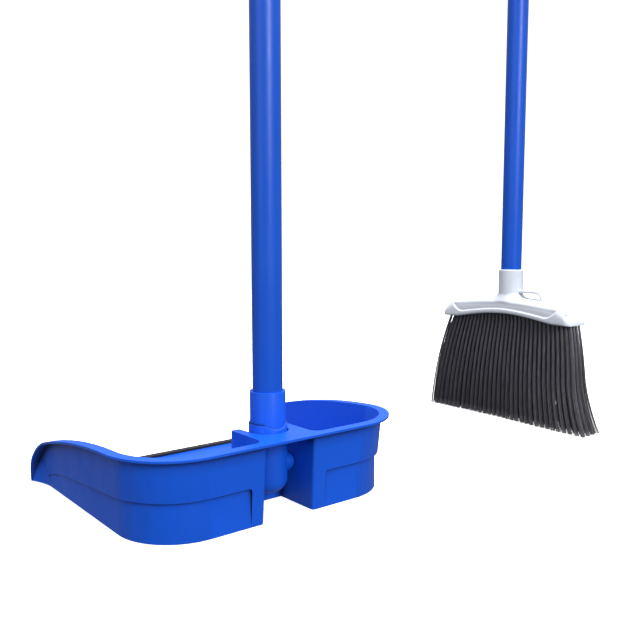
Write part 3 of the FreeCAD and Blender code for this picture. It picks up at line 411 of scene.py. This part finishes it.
def ring_solid(name, vertices, rows, around, closed=False):
    """A solid from rings of points: its ends are capped, or the last ring meets the first."""
    faces = band_faces(rows, around)
    last = (rows - 1) * around
    if closed:
        faces += [(last + step, last + (step + 1) % around, (step + 1) % around, step)
                  for step in range(around)]
    else:
        faces.append(tuple(range(around - 1, -1, -1)))
        faces.append(tuple(range(last, last + around)))
    mesh = bpy.data.meshes.new(name)
    mesh.from_pydata([Vector(v) * MM for v in vertices], [], faces)
    solid = bpy.data.objects.new(name, mesh)
    scene.collection.objects.link(solid)
    return solid


def turned_solid(name, profile, around=72):
    """A solid of revolution about the broom's own line: profile is [(radius, z)]."""
    vertices = []
    for radius, z in profile:
        for step in range(around):
            angle = 2 * math.pi * step / around
            vertices.append((BROOM_X + radius * math.cos(angle), radius * math.sin(angle), z))
    return ring_solid(name, vertices, len(profile), around)


def head_socket():
    """The plain round socket, with a softened upper edge."""
    profile = [(SOCKET - 1.0, SOCKET_ROOT), (SOCKET, SOCKET_ROOT + 1.0),
               (SOCKET, SOCKET_TOP - 0.8), (SOCKET - 0.8, SOCKET_TOP)]
    return turned_solid("socket", profile)


def head_loop():
    """The strap that leaves the socket level and turns down into the head.

    line is its route as (y, z), and section is its rounded cross-section."""
    section = [(-4, -1.2), (-3.6, -1.5), (3.6, -1.5), (4, -1.2),
               (4, 1.2), (3.6, 1.5), (-3.6, 1.5), (-4, 1.2)]
    line = [(-10.0, 163.2), (-20.0, 163.2), (-30.0, 163.2), (-38.0, 163.1), (-41.5, 162.8),
            (-44.2, 161.7), (-46.2, 159.6), (-47.8, 156.6), (-49.6, 152.0), (-51.0, 147.0)]
    vertices = []
    for index, (y, z) in enumerate(line):
        before = line[max(0, index - 1)]
        after = line[min(len(line) - 1, index + 1)]
        along = Vector((after[0] - before[0], after[1] - before[1])).normalized()
        normal = Vector((-along.y, along.x))
        for across, up in section:
            vertices.append((BROOM_X + across, y + normal.x * up, z + normal.y * up))
    return ring_solid("loop", vertices, len(line), len(section))


def join_and_fuse(name, pieces, voxel):
    """Join closed solids and fuse them into one smooth skin."""
    whole = bmesh.new()
    for piece in pieces:
        whole.from_mesh(piece.data)
        bpy.data.objects.remove(piece)
    bmesh.ops.recalc_face_normals(whole, faces=whole.faces)
    mesh = bpy.data.meshes.new(name)
    whole.to_mesh(mesh)
    whole.free()
    skin = bpy.data.objects.new(name, mesh)
    scene.collection.objects.link(skin)
    remesh = skin.modifiers.new("fuse", "REMESH")
    remesh.mode = "VOXEL"
    remesh.voxel_size = voxel * MM
    relax = skin.modifiers.new("relax", "SMOOTH")
    relax.factor = 0.5
    relax.iterations = 8
    return apply_modifiers(skin)


def apply_modifiers(thing):
    """Bake an object's modifiers into its mesh."""
    evaluated = thing.evaluated_get(bpy.context.evaluated_depsgraph_get())
    mesh = bpy.data.meshes.new_from_object(evaluated)
    thing.modifiers.clear()
    old = thing.data
    thing.data = mesh
    bpy.data.meshes.remove(old)
    return thing


def ridge_height(y):
    """Lower edge of the sunk panel: it follows the arch and turns up at both ends."""
    far = abs(y)
    arch = 6.8 * (1 - min(1.0, far / 62) ** 1.6)
    return 134.3 + arch + 11.0 * (max(0.0, far - 65) / 16) ** 2


def sink_panels(head):
    """Sink a panel into both long faces, deepest along its lower edge.

    The sunk face meets the lower edge in a ledge that faces up."""
    for vertex in head.data.vertices:
        x, y, z = vertex.co / MM
        side = x - BROOM_X
        if abs(y) > PANEL_HALF or abs(side) < PANEL_CLEAR:
            continue
        slope = ridge_height(y + 0.5) - ridge_height(y - 0.5)
        away = (z - ridge_height(y)) / math.sqrt(1 + slope * slope)
        fade = smoothstep((PANEL_HALF - abs(y)) / PANEL_FADE)
        fade *= smoothstep((crown_height(y) - 4.5 - z) / PANEL_FADE)
        rise = max(0.0, min(1.0, (z - ridge_height(y)) / PANEL_HEIGHT))
        depth = PANEL_DEPTH * (1 - 0.75 * rise) * smoothstep((away + 0.5) / 1.8)
        vertex.co.x -= depth * fade * math.copysign(MM, side)


def cavity_cutters():
    """The seat that takes the bristle block and the wider hollow below it."""
    low, high = node_box("bristle_block")
    under_hem = 110.0
    cutters = []
    for name, gap, corner, bottom, top in (("seat", 0.15, 0.4, low.z - 2, high.z + 0.1),
                                           ("mouth", 1.5, 4.0, under_hem, low.z)):
        long_gap = 2.6 * gap
        corners = [(low.x - gap, low.y - long_gap), (high.x + gap, low.y - long_gap),
                   (high.x + gap, high.y + long_gap), (low.x - gap, high.y + long_gap)]
        outline = rounded(corners, corner)
        vertices = [(x, y, bottom) for x, y in outline] + [(x, y, top) for x, y in outline]
        cutters.append(ring_solid(name, vertices, 2, len(outline)))
    return cutters


def rounded(corners, radius, steps=6):
    """A plan rectangle's outline with its corners rounded."""
    middle = sum((Vector(corner) for corner in corners), Vector((0, 0))) / 4
    outline = []
    for index, corner in enumerate(corners):
        inward = Vector((math.copysign(radius, middle.x - corner[0]),
                         math.copysign(radius, middle.y - corner[1])))
        centre = Vector(corner) + inward
        begin = math.pi + index * math.pi / 2
        for step in range(steps + 1):
            angle = begin + step / steps * math.pi / 2
            outline.append((centre.x + radius * math.cos(angle),
                            centre.y + radius * math.sin(angle)))
    return outline


def bore_cutter():
    """The open upper end of the socket around the tube."""
    low, high = node_box("broom_tube")
    radius = (high.x - low.x) / 2 + 0.05
    return turned_solid("bore", [(radius, low.z), (radius, SOCKET_TOP + 9.0)])


def carve(thing, cutter):
    """Cut one closed solid out of a piece."""
    boolean = thing.modifiers.new("carve", "BOOLEAN")
    boolean.operation = "DIFFERENCE"
    boolean.solver = "EXACT"
    boolean.object = cutter
    apply_modifiers(thing)
    bpy.data.objects.remove(cutter)


# ---------------------------------------------------------------- bristles

ROWS = 4
ROW_PITCH = 5.6         # distance between rows where they leave the head
OUTER_ROW = ROW_PITCH * (ROWS - 1) / 2
TUFTS = 32              # tufts in the first row
GAP_TUFTS = 1           # tufts that the other rows lack at their far end
ROOT_HALF = 89.2        # half length of a row of tufts where it leaves the head
TUFT_PITCH = 2 * ROOT_HALF / (TUFTS - 1)
TUFT_RINGS = ((0.0, 1), (0.55, 5), (1.02, 9))     # filament rings: radius and count
FAN_ACROSS = 0.42       # how much the rows fan out across the head
FAN_ALONG = 0.314       # how much the tufts fan out along it
SIDES = 5
LEVELS = 15


def filament_centre(root_x, root_y, share):
    """Centre line of a tuft: it fans out both ways and carries a slight set along Y.

    Both ends of the fan bow outwards, and all rows splay towards -X, most at the near
    end and in the first row."""
    tuck = max(0.0, 1 - share / 0.06)
    lean = (18.5 * share - 16.6 * share * share - 2.6) * (1 - tuck)
    near = max(0.0, -root_y / ROOT_HALF)
    far = max(0.0, root_y / ROOT_HALF)
    bow = near ** 2 * (2.6 * math.sin(math.pi * min(1.0, share / 0.6)) + 6.0 * share ** 5)
    reach = far ** 2 * (1.6 * math.sin(math.pi * share) + 1.4 * share)
    splay = (2.5 + 8.0 * min(1.0, 1.4 * near)) * (1 - far) * share ** 2
    splay *= 1 - 0.55 * (root_x + OUTER_ROW) / (2 * OUTER_ROW)
    return (root_x * (1 + FAN_ACROSS * share) - splay,
            root_y * (1 + FAN_ALONG * share - 0.025 * tuck) + lean - bow + reach)


def build_row(row, chance):
    """One row of tufts as a single mesh of separate filaments."""
    root_z = node_box(f"bristle_row_{row + 1}")[1].z + 0.6
    lacking = GAP_TUFTS * (row > 0)
    vertices, faces = [], []
    for number in range(TUFTS - lacking):
        tuft = new_tuft(row, -ROOT_HALF + TUFT_PITCH * number, chance)
        for ring, count in TUFT_RINGS:
            for place in range(count):
                angle = tuft.turn + 2 * math.pi * place / count
                strand = SimpleNamespace(
                    offset=Vector((ring * math.cos(angle), ring * math.sin(angle))),
                    stray=Vector((chance.gauss(0, 0.16), chance.gauss(0, 0.2))),
                    tip=0.1 + tuft.shortfall + 0.4 * ring * ring + abs(chance.gauss(0, 0.2)),
                    phase=chance.uniform(0, 2 * math.pi),
                    radius=chance.uniform(0.36, 0.44))
                add_filament(vertices, faces, tuft, strand, root_z)
    piece = make_piece(f"bristles_{row + 1}", vertices, faces, "bristle", "broom")
    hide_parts(f"bristle_row_{row + 1}")


def new_tuft(row, root_y, chance):
    """Where a tuft is rooted and how it strays.

    spread is how far it closes up the gap at the far end of its row, fray is how much
    its filaments open out, and shortfall is how far its tips stop above the floor."""
    far = max(0.0, root_y / ROOT_HALF)
    return SimpleNamespace(
        root_x=(row - (ROWS - 1) / 2) * ROW_PITCH,
        root_y=root_y,
        spread=(GAP_TUFTS * TUFT_PITCH * (row > 0) + 2.0 * row) * far ** 2,
        fray=1.0 + 0.8 * far ** 4,
        sway=(chance.uniform(-0.35, 0.35), chance.uniform(-0.5, 0.5)),
        shortfall=chance.uniform(0.0, 0.3),
        turn=chance.uniform(0, math.pi))


def add_filament(vertices, faces, tuft, strand, root_z):
    """One filament: rings of points from the block down to its cut tip, with a crimp."""
    first = len(vertices)
    for level in range(LEVELS):
        z = root_z + (strand.tip - root_z) * (level / (LEVELS - 1))
        along = (root_z - z) / root_z
        x, y = filament_centre(tuft.root_x, tuft.root_y, along)
        open_out = 1 + 1.3 * tuft.fray * along ** (1.1 / tuft.fray)
        crimp = 0.16 * along * math.sin(strand.phase + level * 2.2)
        x += strand.offset.x * open_out + (strand.stray.x + tuft.sway[0]) * along ** 2 + crimp
        y += strand.offset.y * open_out + (strand.stray.y + tuft.sway[1]) * along ** 2 + crimp
        y += tuft.spread * (1.2 - 1.2 * math.exp(-along / 0.14) + 0.3 * along)
        for side in range(SIDES):
            angle = 2 * math.pi * side / SIDES
            vertices.append((BROOM_X + x + strand.radius * math.cos(angle),
                             y + strand.radius * math.sin(angle), z))
    faces.extend(band_faces(LEVELS, SIDES, first, flip=True))
    last = first + (LEVELS - 1) * SIDES
    faces.append(tuple(range(last, last + SIDES)))


def build_bristles():
    """All rows, from one seeded run of chance."""
    chance = random.Random(7)
    for row in range(ROWS):
        build_row(row, chance)


# ---------------------------------------------------------------- stage

def cyclorama():
    """A pale floor that curves up far out on all sides, so that no horizon shows.

    flat, bend and top are the floor's radius, the curve's radius and the wall's height,
    in metres."""
    flat, bend, top = 4.0, 2.2, 7.0
    steps, around = 16, 72
    profile = [(flat, 0.0)]
    for step in range(1, steps + 1):
        angle = step / steps * math.pi / 2
        profile.append((flat + bend * math.sin(angle), bend * (1 - math.cos(angle))))
    profile.append((flat + bend, top))
    vertices = []
    for radius, height in profile:
        for step in range(around):
            angle = 2 * math.pi * step / around
            vertices.append((radius * math.cos(angle), radius * math.sin(angle), height))
    faces = [tuple(range(around))] + band_faces(len(profile), around, flip=True)
    mesh = bpy.data.meshes.new("backdrop")
    mesh.from_pydata(vertices, [], faces)
    mesh.shade_smooth()
    backdrop = bpy.data.objects.new("backdrop", mesh)
    scene.collection.objects.link(backdrop)
    material, tree, shader = new_material("paper")
    tree.links.new(ramp(tree, noise(tree, 3.0), 0.90, 0.93), shader.inputs["Base Color"])
    shader.inputs["Roughness"].default_value = 0.95
    shader.inputs["Specular IOR Level"].default_value = 0.1
    shader.inputs["Emission Color"].default_value = (1, 1, 1, 1)
    shader.inputs["Emission Strength"].default_value = 0.65
    mesh.materials.append(material)
    backdrop.visible_diffuse = False
    backdrop.visible_glossy = False
    backdrop.visible_shadow = False


def studio_light():
    """Surroundings that are brightest overhead, and three soft lamps.

    One lamp is above the set, one stands behind the pan and one to its left. Places and
    widths are in metres, and powers in watts."""
    world = bpy.data.worlds.new("studio")
    world.use_nodes = True
    tree = world.node_tree
    place = tree.nodes.new("ShaderNodeTexCoord")
    split = tree.nodes.new("ShaderNodeSeparateXYZ")
    tree.links.new(place.outputs["Generated"], split.inputs["Vector"])
    sky = ramp(tree, split.outputs["Z"], 0.26, 1.0, 0.0, 1.0)
    background = tree.nodes["Background"]
    tree.links.new(sky, background.inputs["Color"])
    background.inputs["Strength"].default_value = 0.95
    scene.world = world
    lamp("overhead", (0.2, -0.2, 3.0), 1.6, 125)
    lamp("key", (-0.2, -2.8, 1.4), 1.2, 66)
    lamp("fill", (-2.6, -0.6, 1.2), 2.0, 15)


def lamp(name, place, width, power):
    """A round soft lamp aimed at the middle of the set."""
    light = bpy.data.lights.new(name, "AREA")
    light.shape = "DISK"
    light.size = width
    light.energy = power
    thing = bpy.data.objects.new(name, light)
    thing.location = place
    aim = Vector((0.15, 0, 0.15)) - thing.location
    thing.rotation_euler = aim.to_track_quat("-Z", "Y").to_euler()
    thing.visible_camera = False
    scene.collection.objects.link(thing)


CAMERA_PLACE = (-0.3539, -0.588, 0.2247)
CAMERA_TURN = math.radians(39.0)
CAMERA_PITCH = math.radians(5.913)


def add_camera():
    """A low camera behind the pan's left corner."""
    lens = bpy.data.cameras.new("camera")
    lens.sensor_width = 36.0
    lens.lens = 41.9
    lens.clip_start = 0.01
    camera = bpy.data.objects.new("camera", lens)
    camera.location = CAMERA_PLACE
    look = Vector((math.sin(CAMERA_TURN) * math.cos(CAMERA_PITCH),
                   math.cos(CAMERA_TURN) * math.cos(CAMERA_PITCH), -math.sin(CAMERA_PITCH)))
    camera.rotation_euler = look.to_track_quat("-Z", "Y").to_euler()
    scene.collection.objects.link(camera)
    scene.camera = camera


# ---------------------------------------------------------------- assembly

dress_nodes()
build_head()
build_bristles()
cyclorama()
studio_light()
add_camera()
